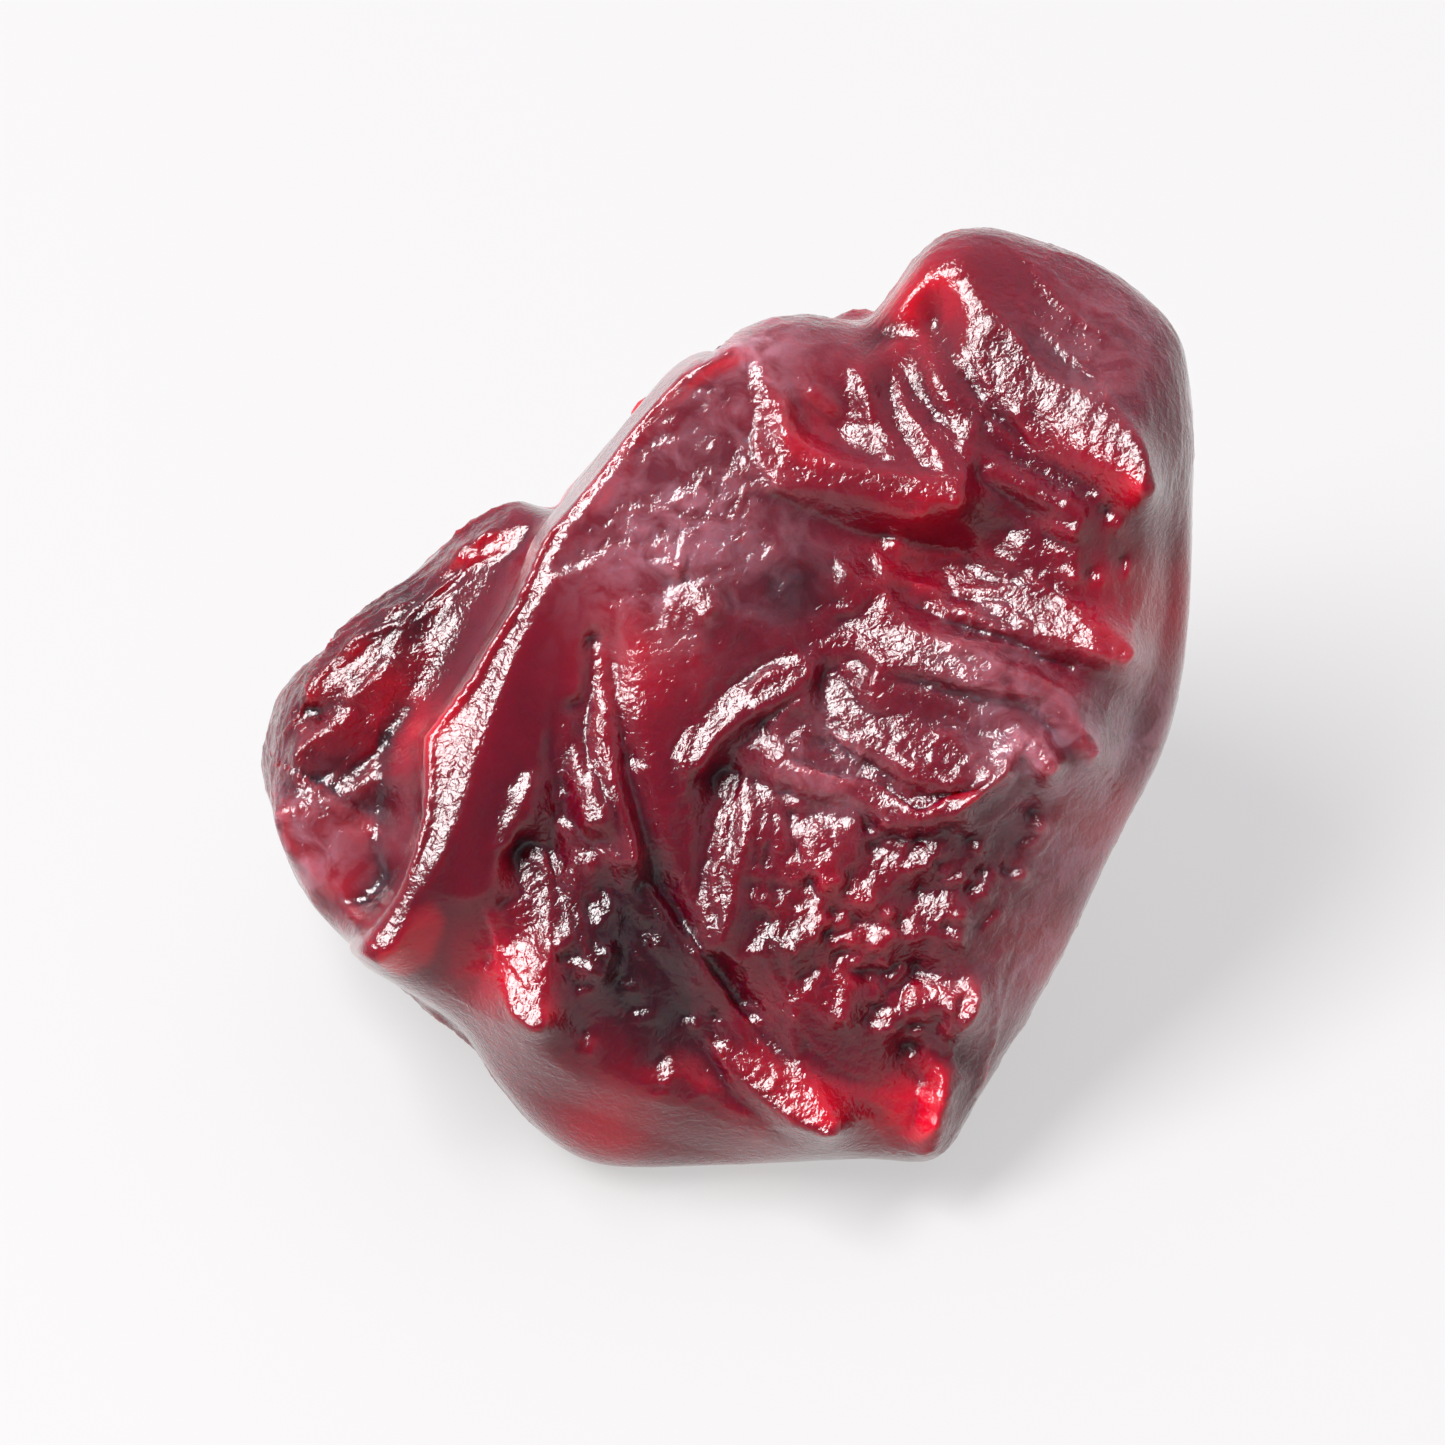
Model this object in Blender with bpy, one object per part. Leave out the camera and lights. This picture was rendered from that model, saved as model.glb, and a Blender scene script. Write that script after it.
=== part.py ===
"""A sweetened, dried cranberry, lying on its flattened underside.

The berry is shaped face-on: x runs across its wrinkled face, y up it, and z out of it. It is then
tipped back by FACE_TILT until it rests, with +Z up. Lengths are in millimetres until the mesh is
written in metres.
"""

import math

import bmesh
import bpy
import numpy as np
from mathutils import Vector, noise

METRES_PER_MM = 0.001

# Driving dimensions
FACE_DOME = 2.7
BACK_DOME = 5.2
FACE_TILT = math.radians(45)
REST_DEPTH = 5.3
CELLS = 30

# How round a fold's crest is, and the narrowest fold that the mesh can hold
CREST = 0.12
NARROWEST = 0.3

# The outline of the face, anticlockwise from its right side, and the centre it is measured from
CENTRE = (0.6, -0.2)
OUTLINE = [
    (7.35, 1.3), (7.4, 3.7), (7.3, 5.5), (6.8, 6.3), (5.8, 7.0), (4.3, 7.5), (3.3, 7.3),
    (2.75, 6.5), (2.25, 6.0), (0.8, 6.05), (-1.3, 4.95), (-2.5, 3.75), (-2.8, 3.3), (-3.5, 3.3),
    (-4.5, 2.55), (-6.1, 1.15), (-7.1, 0.25), (-7.4, -1.2), (-6.95, -2.7), (-6.1, -3.8),
    (-4.2, -5.1), (-3.55, -6.0), (-2.7, -6.95), (-1.8, -7.4), (0.0, -7.4), (2.2, -7.3),
    (3.2, -7.35), (3.6, -7.1), (4.4, -5.75), (5.4, -4.0), (6.25, -2.15), (7.0, -0.65),
]

# Broad swells and hollows of the face: place, reach and height
SWELLS = {
    "shoulder": ((0.4, 4.4), 1.8, 0.35),
    "crown": ((5.6, 5.4), 1.7, 0.5),
    "table": ((3.1, -0.5), 1.9, 0.5),
    "belly": ((2.3, -4.4), 1.8, 0.35),
    "cheek": ((-2.7, -3.4), 1.2, 0.3),
    "behind the rim": ((-6.2, -0.6), 1.5, 0.5),
    "inside the rim": ((-2.4, -0.4), 0.9, -0.4),
    "cup": ((1.8, 4.1), 0.7, -0.5),
    "neck": ((3.2, 5.9), 0.6, -0.6),
    "beside the long groove": ((-1.6, -4.0), 0.6, -0.4),
    "above the bars": ((3.3, 2.2), 0.9, -0.35),
}

# Folds of the face: height (a groove's is below zero), width to the left and to the right of the
# path, and the path
FOLDS = {
    "rim": (1.1, 0.7, 0.25, [
        (-0.57, 5.2), (-1.6, 4.0), (-2.5, 2.8), (-3.0, 1.55), (-3.6, 0.15), (-4.2, -1.2),
        (-4.7, -2.6), (-5.4, -4.0)]),
    "left upright": (0.4, 0.3, 0.3, [(-2.9, -1.1), (-3.2, -2.7), (-2.9, -4.3), (-2.5, -5.2)]),
    "long groove": (-0.6, 0.3, 0.25, [
        (-1.8, 0.8), (-1.6, -0.4), (-1.1, -2.6), (-0.5, -3.65), (0.2, -4.7), (1.0, -5.8)]),
    "long groove lip": (0.4, 0.25, 0.2, [(-2.0, 0.8), (-2.15, -0.6), (-1.7, -1.9), (-1.35, -2.5)]),
    "long groove foot": (0.4, 0.25, 0.25, [(0.1, -5.15), (0.9, -5.9), (1.7, -6.6)]),
    "table left": (0.35, 0.2, 0.3, [(-0.3, -1.0), (0.35, -0.2), (1.25, 0.4)]),
    "table wave": (0.4, 0.2, 0.35, [
        (0.85, -0.4), (1.0, -1.0), (1.8, -1.4), (2.9, -1.8), (3.6, -1.55), (4.2, -1.2),
        (4.45, -0.75), (5.0, -0.95)]),
    "table top": (0.3, 0.25, 0.25, [(1.8, 0.1), (2.2, -0.5), (3.1, -1.1), (4.0, -1.05)]),
    "lower bar": (0.45, 0.25, 0.25, [(2.0, 1.15), (2.65, 0.8), (4.05, 0.35), (5.05, 0.1), (5.8, -0.95)]),
    "upper bar": (0.5, 0.25, 0.25, [(3.6, 1.6), (4.85, 1.15), (6.3, 0.6)]),
    "groove between the bars": (-0.3, 0.2, 0.2, [(2.2, 1.65), (3.3, 1.05), (4.8, 0.55), (6.0, 0.15)]),
    "cup edge": (0.45, 0.2, 0.3, [(0.7, 5.15), (0.8, 4.45), (1.2, 3.75), (2.0, 3.3), (3.25, 3.1)]),
    "neck edge": (0.4, 0.25, 0.2, [(2.75, 5.55), (2.8, 4.7), (3.1, 4.05), (3.6, 3.5)]),
    "under the neck": (0.35, 0.2, 0.2, [(3.85, 3.75), (4.6, 3.3), (5.65, 2.75)]),
    "wide groove": (-0.45, 0.4, 0.4, [(0.5, 2.4), (1.9, 2.7), (3.5, 2.45), (4.8, 2.0)]),
    "crown ridge": (0.6, 0.4, 0.3, [(3.75, 6.55), (4.2, 5.6), (4.9, 4.75), (5.8, 4.05), (6.6, 3.2)]),
    "crown valley": (-0.7, 0.25, 0.3, [(2.3, 6.0), (2.65, 5.6), (2.9, 4.7), (3.35, 3.9)]),
    "tip ridge": (0.4, 0.2, 0.2, [(3.0, -5.4), (3.45, -6.1), (3.3, -7.2)]),
    "tip knob": (0.3, 0.2, 0.2, [(2.75, -4.65), (3.75, -4.85)]),
    "low upright": (0.35, 0.25, 0.2, [(0.15, -1.3), (0.0, -2.4), (-0.1, -3.85)]),
    "right slit": (-0.3, 0.3, 0.3, [(7.0, 4.2), (7.0, 2.2), (6.8, 0.7), (6.2, -1.0), (5.8, -2.2)]),
    "lower lip": (0.5, 0.45, 0.25, [
        (-5.4, -4.0), (-3.6, -4.9), (-2.8, -5.55), (-1.7, -6.0), (1.0, -6.85), (2.3, -7.1)]),
    "left side top": (0.35, 0.3, 0.25, [(-7.1, 0.15), (-6.4, 0.75), (-5.0, 1.75)]),
    "left side creases": (-0.3, 0.25, 0.25, [(-6.85, -2.6), (-6.1, -2.05), (-5.15, -1.45)]),
}

# Behind the rim, the left side of the face lies lower by this much, over this distance, and it has
# this share of the back's wrinkles
RIM_DROP = 2.6
RIM_FOOT = 0.8
LEFT_SIDE_WRINKLES = 0.45

# The back's wrinkles grow to their full depth over this height above the resting face
WRINKLE_START = 0.6

# Wrinkles of the back: across and along a wrinkle, its depth, and its place in the noise. Away from
# the outline they stand out by this share of their depth, and lie between by the rest of it
WRINKLES = [
    (4.5, 8.0, 1.6, 3.1),
    (2.0, 5.5, 1.0, 11.7),
    (1.1, 2.8, 0.3, 23.9),
]
STANDING_OUT = 0.25


def smooth(low, high, x):
    """0 up to low, 1 from high on, and a smooth change between them."""
    t = np.clip((x - low) / (high - low), 0, 1)
    return t * t * (3 - 2 * t)


def curve_through(points, steps):
    """Points along a Catmull-Rom curve through an open row of points."""
    p = np.array([points[0], *points, points[-1]], float)
    t = np.linspace(0, 1, steps, endpoint=False)[:, None]
    spans = []
    for a, b, c, d in zip(p, p[1:], p[2:], p[3:]):
        linear = (c - a) * t
        squared = (2 * a - 5 * b + 4 * c - d) * t**2
        cubed = (3 * b - a - 3 * c + d) * t**3
        spans.append((2 * b + linear + squared + cubed) / 2)
    return np.concatenate([*spans, p[-1:]])


def along_path(xy, points):
    """Each point's signed distance from the path, positive on its left, and the share of the path
    behind the nearest place on it."""
    path = curve_through(points, 5)
    start = path[:-1]
    step = np.diff(path, axis=0)
    length = np.linalg.norm(step, axis=1)
    gap = xy[:, None, :] - start[None]
    t = np.clip((gap * step).sum(-1) / length**2, 0, 1)
    distance = np.linalg.norm(gap - t[..., None] * step, axis=-1)
    nearest = distance.argmin(1)
    rows = np.arange(len(xy))
    side = step[nearest, 0] * gap[rows, nearest, 1] - step[nearest, 1] * gap[rows, nearest, 0]
    behind = np.concatenate([[0], np.cumsum(length)])
    share = (behind[nearest] + t[rows, nearest] * length[nearest]) / behind[-1]
    return np.copysign(distance[rows, nearest], side), share


def cube_on_sphere():
    """A cube with each side cut into CELLS x CELLS squares, drawn onto the unit sphere."""
    mesh = bmesh.new()
    bmesh.ops.create_cube(mesh, size=2)
    bmesh.ops.subdivide_edges(mesh, edges=mesh.edges[:], cuts=CELLS - 1, use_grid_fill=True)
    for vertex in mesh.verts:
        vertex.co = Vector([math.tan(c * math.pi / 4) for c in vertex.co]).normalized()
    return mesh


def outline_radius(angle, softness):
    """The outline's distance from CENTRE in each direction, averaged over softness radians."""
    corners = np.array(OUTLINE)
    closed = np.concatenate([corners[-2:], corners, corners[:3]])
    edge = curve_through(closed, 8) - CENTRE
    edge_angle = np.arctan2(edge[:, 1], edge[:, 0])
    order = np.argsort(edge_angle)
    edge_radius = np.linalg.norm(edge, axis=1)
    total = 0
    offsets = np.linspace(-1, 1, 9) * softness
    for offset in offsets:
        total += np.interp(angle + offset, edge_angle[order], edge_radius[order], period=2 * math.pi)
    return total / len(offsets)


def body(direction):
    """The berry's plump form in each direction, without folds, and the direction it faces."""
    angle = np.arctan2(direction[:, 1], direction[:, 0])
    across = np.hypot(direction[:, 0], direction[:, 1])
    outward = direction[:, 2]
    # The face is squarest at the upper left, and it falls away gently at the lower right
    squareness = np.where(outward > 0, 2.7 - 0.5 * np.cos(angle + math.pi / 6), 2.0)
    reach = (across**squareness + np.abs(outward) ** squareness) ** (-1 / squareness)
    sharp = smooth(0.5, 0.95, across * reach) * smooth(-0.45, 0, outward)
    radius = (1 - sharp) * outline_radius(angle, 0.5) + sharp * outline_radius(angle, 0.03)
    dome = np.where(outward > 0, FACE_DOME, BACK_DOME)
    xy = CENTRE + (radius * reach)[:, None] * direction[:, :2]
    points = np.column_stack([xy, dome * reach * outward])
    normal = np.column_stack([direction[:, :2] / radius[:, None], outward / dome])
    return points, normal / np.linalg.norm(normal, axis=1)[:, None]


def face_relief(xy):
    """How far the folds and swells of the face stand out at each place."""
    height = np.zeros(len(xy))
    for place, reach, swell in SWELLS.values():
        height += swell * np.exp(-(((xy - place) ** 2).sum(1)) / reach**2)
    for fold, left_width, right_width, path in FOLDS.values():
        offset, share = along_path(xy, path)
        width = np.maximum(np.where(offset > 0, left_width, right_width), NARROWEST)
        taper = 0.3 + 0.7 * smooth(0, 0.2, share) * smooth(1, 0.8, share)
        height += fold * taper * np.exp((CREST - np.hypot(offset, CREST)) / width)
    return height


def rim_drop(xy):
    """How far the left side lies lower than the face, behind the rim."""
    offset, share = along_path(xy, FOLDS["rim"][-1])
    fading = smooth(-0.3, 0.35, share) * (1 - 0.5 * smooth(0.75, 1, share))
    return RIM_DROP * fading * smooth(0, RIM_FOOT, -offset)


def back_relief(points, outward):
    """How far the wrinkles that run up the back stand out at each place."""
    height = np.zeros(len(points))
    crest = STANDING_OUT * smooth(0.1, -0.5, outward)
    bent = points + 0.5 * np.sin(points[:, [1, 2, 0]] * 0.9)
    for across, along, depth, place in WRINKLES:
        stretched = bent / (across, along, across) + place
        waves = np.array([noise.noise(Vector(p)) for p in stretched])
        height += depth * (crest - np.sqrt(waves**2 + 0.003))
    return height


def tipped_back(points):
    """The points turned from the face-on frame into the frame with +Z up."""
    x, y, z = points.T
    sine = math.sin(FACE_TILT)
    cosine = math.cos(FACE_TILT)
    return np.column_stack([x, y * sine - z * cosine, y * cosine + z * sine])


def berry_points(direction):
    """The berry's surface in each direction, in millimetres, resting at Z = 0."""
    points, normal = body(direction)
    outward = direction[:, 2]
    drop = rim_drop(points[:, :2])
    wrinkled = np.maximum(smooth(0.1, -0.2, outward), LEFT_SIDE_WRINKLES * drop / RIM_DROP)
    height_over_rest = tipped_back(points)[:, 2] + REST_DEPTH
    wrinkled *= smooth(0, WRINKLE_START, height_over_rest)
    points[:, 2] += smooth(-0.15, 0.15, outward) * face_relief(points[:, :2])
    points[:, 2] -= smooth(-0.9, -0.1, outward) * drop
    points += (wrinkled * back_relief(points, outward))[:, None] * normal
    points = tipped_back(points)
    points[:, 2] = np.maximum(points[:, 2] + REST_DEPTH, 0)
    middle = (points.min(0) + points.max(0)) / 2
    points[:, :2] -= middle[:2]
    return points


def skin_material():
    """Deep red, moist and slightly translucent skin."""
    material = bpy.data.materials.new("cranberry_skin")
    material.use_nodes = True
    shader = material.node_tree.nodes["Principled BSDF"]
    shader.inputs["Base Color"].default_value = (0.23, 0.012, 0.018, 1)
    shader.inputs["Roughness"].default_value = 0.25
    shader.inputs["Metallic"].default_value = 0
    shader.inputs["Subsurface Weight"].default_value = 0.5
    return material


def dried_cranberry():
    mesh = cube_on_sphere()
    direction = np.array([vertex.co for vertex in mesh.verts])
    for vertex, point in zip(mesh.verts, berry_points(direction) * METRES_PER_MM):
        vertex.co = point
    bmesh.ops.triangulate(mesh, faces=mesh.faces[:], quad_method="SHORT_EDGE")
    bmesh.ops.recalc_face_normals(mesh, faces=mesh.faces[:])
    data = bpy.data.meshes.new("dried_cranberry")
    mesh.to_mesh(data)
    mesh.free()
    data.shade_smooth()
    data.materials.append(skin_material())
    berry = bpy.data.objects.new("dried_cranberry", data)
    bpy.context.scene.collection.objects.link(berry)
    return berry


def main():
    for old in list(bpy.data.objects):
        bpy.data.objects.remove(old)
    dried_cranberry()


main()
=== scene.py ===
# A sweetened, dried cranberry, lying tipped back on a pale table.
# The berry is shaped face-on in millimetres (x across its wrinkled face, y up it, z out of it),
# then tipped back onto its flattened underside. Everything after that is in metres.
import math

import bmesh
import bpy
import numpy as np
from mathutils import Matrix, Vector, noise
from mathutils.bvhtree import BVHTree


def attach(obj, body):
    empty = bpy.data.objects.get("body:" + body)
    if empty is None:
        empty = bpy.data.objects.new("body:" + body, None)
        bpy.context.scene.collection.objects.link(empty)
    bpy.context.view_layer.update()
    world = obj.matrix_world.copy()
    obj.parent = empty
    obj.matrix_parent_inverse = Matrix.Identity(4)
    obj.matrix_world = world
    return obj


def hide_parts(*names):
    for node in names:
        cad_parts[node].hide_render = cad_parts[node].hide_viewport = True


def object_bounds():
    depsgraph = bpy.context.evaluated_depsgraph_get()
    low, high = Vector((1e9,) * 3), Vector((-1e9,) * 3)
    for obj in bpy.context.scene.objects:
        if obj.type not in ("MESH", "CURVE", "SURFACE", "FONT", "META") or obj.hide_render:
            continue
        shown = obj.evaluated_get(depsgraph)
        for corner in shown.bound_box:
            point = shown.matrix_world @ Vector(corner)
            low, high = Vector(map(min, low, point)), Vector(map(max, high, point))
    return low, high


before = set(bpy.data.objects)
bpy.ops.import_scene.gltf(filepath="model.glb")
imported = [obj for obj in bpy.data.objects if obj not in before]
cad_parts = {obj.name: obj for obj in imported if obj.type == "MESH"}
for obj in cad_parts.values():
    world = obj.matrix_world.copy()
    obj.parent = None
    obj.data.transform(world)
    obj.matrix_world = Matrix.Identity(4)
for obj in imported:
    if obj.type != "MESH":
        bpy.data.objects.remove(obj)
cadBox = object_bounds()
mm = 0.001


def smooth(low, high, x):  # 0 up to low, 1 from high on
    t = np.clip((x - low) / (high - low), 0, 1)
    return t * t * (3 - 2 * t)


# The berry's own form, in millimetres
berryForm = {
    "cells": 128,  # squares along each side of the starting cube
    "frontShare": 0.74,  # under 1 draws more of the mesh onto the face
    "faceDome": 2.7,
    "backDome": 5.2,
    # over 2 makes the face flat in its middle and steep at its edge, more on one side
    "faceFlatness": 2.7,
    "flatnessSwing": 0.5,
    "steepestSide": -math.pi / 6,
    "backFlatness": 2.0,
    "sharpEdge": 0.03,  # how far round the outline's corners are softened, at its edge
    "softEdge": 0.5,  # and away from it
    "tilt": math.radians(45),
    "restDepth": 5.3,
    "centre": (0.6, -0.2),
    # the face's outline, anticlockwise from its right side
    "outline": [
        (7.35, 1.3), (7.4, 3.7), (7.3, 5.5), (6.8, 6.3), (5.8, 7.0), (4.3, 7.5), (3.3, 7.3),
        (2.75, 6.5), (2.25, 6.0), (0.8, 6.05), (-1.3, 4.95), (-2.5, 3.75), (-2.8, 3.3),
        (-3.5, 3.3), (-4.5, 2.55), (-6.1, 1.15), (-7.1, 0.25), (-7.4, -1.2), (-6.95, -2.7),
        (-6.1, -3.8), (-4.2, -5.1), (-3.55, -6.0), (-2.7, -6.95), (-1.8, -7.4), (0.0, -7.4),
        (2.2, -7.3), (3.2, -7.35), (3.6, -7.1), (4.4, -5.75), (5.4, -4.0), (6.25, -2.15),
        (7.0, -0.65)],
    # broad swells and hollows: place, reach, height
    "swells": [
        ((0.6, 4.2), 1.6, 0.3), ((6.2, 4.0), 1.5, 0.6), ((3.1, -0.5), 1.9, 0.5),
        ((5.2, 0.9), 1.3, 0.3), ((2.3, -4.4), 1.8, 0.35), ((-2.7, -3.4), 1.2, 0.3),
        ((-6.2, -0.6), 1.5, 0.35), ((-2.4, -0.4), 0.9, -0.4), ((1.8, 4.1), 0.7, -0.5),
        ((3.2, 5.9), 0.6, -0.6), ((-1.6, -4.0), 0.6, -0.4), ((3.3, 2.2), 0.9, -0.35)],
    "leftSideWrinkles": 0.3,
    "wrinkleStart": 0.6,  # height above the table at which the wrinkles are full
    "wander": 1.4,  # size of the waves that fold lines wander by
    "foldWander": 0.1,
    "rimWander": 0.03,
    # back wrinkles: across, along, depth, place in the noise
    "backWrinkles": [(4.5, 8.0, 1.6, 3.1), (2.0, 5.5, 1.0, 11.7), (1.1, 2.8, 0.3, 23.9)],
    "standingOut": 0.25,
    "bend": 0.5,  # how far the back wrinkles bend, and how often
    "bendRate": 0.9,
}

# Folds of the face, in millimetres: height (a groove's is below zero), width of the slope on the
# left and on the right of the path, how round the crest is, and the path
faceFolds = {
    "leftUpright": (0.34, 0.3, 0.6, 0.12, [
        (-2.75, -1.1), (-3.0, -2.7), (-2.75, -4.3), (-2.4, -5.3)]),
    "longFold": (0.34, 0.2, 0.4, 0.05, [
        (-1.85, 0.9), (-1.75, -0.4), (-1.3, -2.6), (-0.7, -3.65), (0.0, -4.75), (0.8, -5.9)]),
    "longGroove": (-0.2, 0.32, 0.25, 0.05, [
        (-1.65, 0.8), (-1.5, -0.4), (-1.05, -2.6), (-0.45, -3.65), (0.25, -4.7), (1.0, -5.8)]),
    "longGrooveLip": (0.3, 0.2, 0.3, 0.06, [
        (-2.05, 0.7), (-2.3, -0.6), (-1.95, -1.7), (-1.6, -2.4)]),
    "longGrooveFoot": (0.28, 0.75, 0.2, 0.06, [
        (-0.3, -5.2), (0.1, -5.65), (0.7, -6.25), (1.5, -6.85)]),
    "tableLeft": (0.34, 0.3, 0.3, 0.06, [
        (-0.45, -1.35), (-0.3, -0.95), (0.35, -0.2), (1.25, 0.4)]),
    "tableTop": (0.4, 0.75, 0.16, 0.05, [
        (1.7, 0.25), (1.95, -0.45), (2.55, -0.95), (3.1, -1.25), (3.9, -1.25), (4.4, -0.95)]),
    "tableWave": (0.3, 0.2, 0.16, 0.04, [
        (0.65, -0.5), (0.9, -1.08), (1.3, -1.35), (2.08, -1.55), (2.96, -1.95), (3.48, -1.8),
        (4.0, -1.5), (4.35, -1.2), (4.5, -0.75), (5.1, -1.1)]),
    "tableHollow": (-0.3, 0.3, 0.3, 0.1, [(1.3, -0.6), (1.8, -1.05), (2.4, -1.35)]),
    "lowerBar": (0.42, 0.75, 0.2, 0.08, [
        (2.0, 0.95), (2.65, 0.6), (4.05, 0.15), (5.05, -0.05), (5.8, -1.0)]),
    "upperBar": (0.42, 0.6, 0.16, 0.08, [(3.4, 1.5), (4.85, 0.98), (6.3, 0.48)]),
    "barGroove": (-0.2, 0.3, 0.3, 0.05, [(2.2, 1.75), (3.3, 1.25), (4.8, 0.62), (6.0, 0.15)]),
    "cupEdge": (0.44, 0.34, 0.5, 0.12, [
        (0.6, 5.3), (0.72, 4.6), (1.1, 3.8), (1.9, 3.3), (3.0, 3.1), (3.9, 2.95)]),
    "cupInside": (0.1, 0.15, 0.15, 0.05, [(1.35, 4.85), (1.9, 4.35)]),
    "neckEdge": (0.3, 0.35, 0.25, 0.06, [(2.75, 5.55), (2.8, 4.7), (3.1, 4.05), (3.6, 3.5)]),
    "underNeck": (0.3, 0.3, 0.2, 0.04, [(3.85, 3.75), (4.6, 3.3), (5.65, 2.75)]),
    "wideGroove": (-0.4, 0.7, 0.7, 0.3, [(0.5, 2.3), (1.9, 2.5), (3.5, 2.3), (4.8, 1.9)]),
    "wideGrooveLine": (0.15, 0.2, 0.3, 0.04, [(2.0, 2.95), (3.6, 2.7), (4.25, 2.15)]),
    "crownRidge": (0.42, 0.7, 0.4, 0.1, [
        (3.7, 6.6), (4.05, 5.55), (4.75, 4.65), (5.65, 3.95), (6.5, 3.1)]),
    "crownValley": (-0.6, 0.4, 0.5, 0.1, [(2.3, 6.1), (2.65, 5.6), (2.95, 4.7), (3.4, 3.9)]),
    "tipRidge": (0.45, 0.35, 0.3, 0.08, [(2.8, -5.3), (3.45, -5.9), (3.45, -6.4), (3.3, -7.2)]),
    "tipKnob": (0.28, 0.3, 0.3, 0.1, [(2.75, -4.75), (3.75, -4.95)]),
    "lowTick": (0.22, 0.25, 0.14, 0.04, [(1.25, -1.95), (1.65, -2.95)]),
    "lowUpright": (0.36, 0.4, 0.4, 0.08, [(0.45, -1.2), (0.3, -2.4), (0.1, -3.9)]),
    "rightSlit": (-0.3, 0.4, 0.4, 0.1, [
        (7.0, 4.2), (7.0, 2.2), (6.8, 0.7), (6.2, -1.0), (5.8, -2.2)]),
    "lowerLip": (0.35, 0.9, 0.5, 0.15, [
        (-5.4, -4.0), (-3.6, -4.9), (-2.8, -5.55), (-1.7, -6.0), (1.0, -6.85), (2.3, -7.1)]),
    "leftSideTop": (0.36, 0.7, 0.35, 0.1, [(-7.0, -0.05), (-6.3, 0.5), (-4.95, 1.5)]),
    "leftSideHump": (0.3, 0.5, 0.3, 0.1, [(-4.7, 2.3), (-4.0, 2.7), (-3.4, 2.8)]),
    "leftSideLow": (-0.12, 0.3, 0.3, 0.06, [(-6.85, -2.6), (-6.1, -2.05), (-5.15, -1.45)]),
    "leftSideMiddle": (-0.14, 0.3, 0.3, 0.06, [(-6.95, -1.4), (-5.75, -0.95), (-5.0, -0.4)]),
}
# How a fold fades out along and beside its path
foldFading = {
    "height": 0.2,  # share of a fold's height that is left at its ends
    "length": 0.25,  # share of its length over which it fades
    "reach": 2.5,  # a fold is felt this many widths away
    "footRounding": 0.012,
}

# The rim: a long ridge with a narrow facet along its top, and the left side lying below it
rimFold = {
    "path": [
        (-0.33, 5.12), (-0.67, 4.72), (-1.2, 4.07), (-1.63, 3.47), (-2.43, 2.46), (-2.69, 1.83),
        (-3.18, 0.62), (-3.58, -0.4), (-3.84, -1.05), (-4.1, -1.8), (-4.35, -2.4), (-4.55, -2.75),
        (-4.85, -3.25), (-5.4, -4.05)],
    "rise": [0.55, 0.6, 0.65, 0.85, 1.1],  # height over the face, from its top end down
    "slope": 1.5,  # width of its slope towards the face
    "crest": 0.07,
    "facet": [0.14, 0.16, 0.18, 0.21, 0.26, 0.45, 0.78, 0.4, 0.16, 0.18],
    "facetSlope": 0.42,
    "drop": 2.3,  # the left side lies this much lower
    "foot": 0.9,  # width of skin taken up by the drop
    "tuck": 0.4,  # how far the drop cuts in under the rim
    "facetRounding": 0.1,
}


def curveThrough(points, steps):  # Catmull-Rom through an open row of points
    p = np.array([points[0], *points, points[-1]], float)
    t = np.linspace(0, 1, steps, endpoint=False)[:, None]
    spans = []
    for a, b, c, d in zip(p, p[1:], p[2:], p[3:]):
        linear = (c - a) * t
        squared = (2 * a - 5 * b + 4 * c - d) * t**2
        cubed = (3 * b - a - 3 * c + d) * t**3
        spans.append((2 * b + linear + squared + cubed) / 2)
    return np.concatenate([*spans, p[-1:]])


def alongPath(xy, points):  # signed distance (left is positive), share passed, nearest place
    path = curveThrough(points, 5)
    start = path[:-1]
    step = np.diff(path, axis=0)
    length = np.linalg.norm(step, axis=1)
    best = np.full(len(xy), 1e9)
    side = np.zeros(len(xy))
    share = np.zeros(len(xy))
    place = np.zeros((len(xy), 2))
    passed = 0
    for a, s, l in zip(start, step, length):
        gap = xy - a
        t = np.clip(gap @ s / l**2, 0, 1)
        distance = np.linalg.norm(gap - t[:, None] * s, axis=1)
        nearer = distance < best
        best[nearer] = distance[nearer]
        side[nearer] = (s[0] * gap[:, 1] - s[1] * gap[:, 0])[nearer]
        share[nearer] = (passed + t * l)[nearer]
        place[nearer] = (a + t[:, None] * s)[nearer]
        passed += l
    return np.copysign(best, side), share / passed, place


def outlineRadius(angle, softness):  # distance of the outline from the centre, each way
    corners = np.array(berryForm["outline"])
    closed = np.concatenate([corners[-2:], corners, corners[:3]])
    edge = curveThrough(closed, 8) - berryForm["centre"]
    edgeAngle = np.arctan2(edge[:, 1], edge[:, 0])
    order = np.argsort(edgeAngle)
    edgeRadius = np.linalg.norm(edge, axis=1)
    total = 0
    offsets = np.linspace(-1, 1, 9) * softness
    for offset in offsets:
        total += np.interp(angle + offset, edgeAngle[order], edgeRadius[order], period=math.tau)
    return total / len(offsets)


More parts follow.
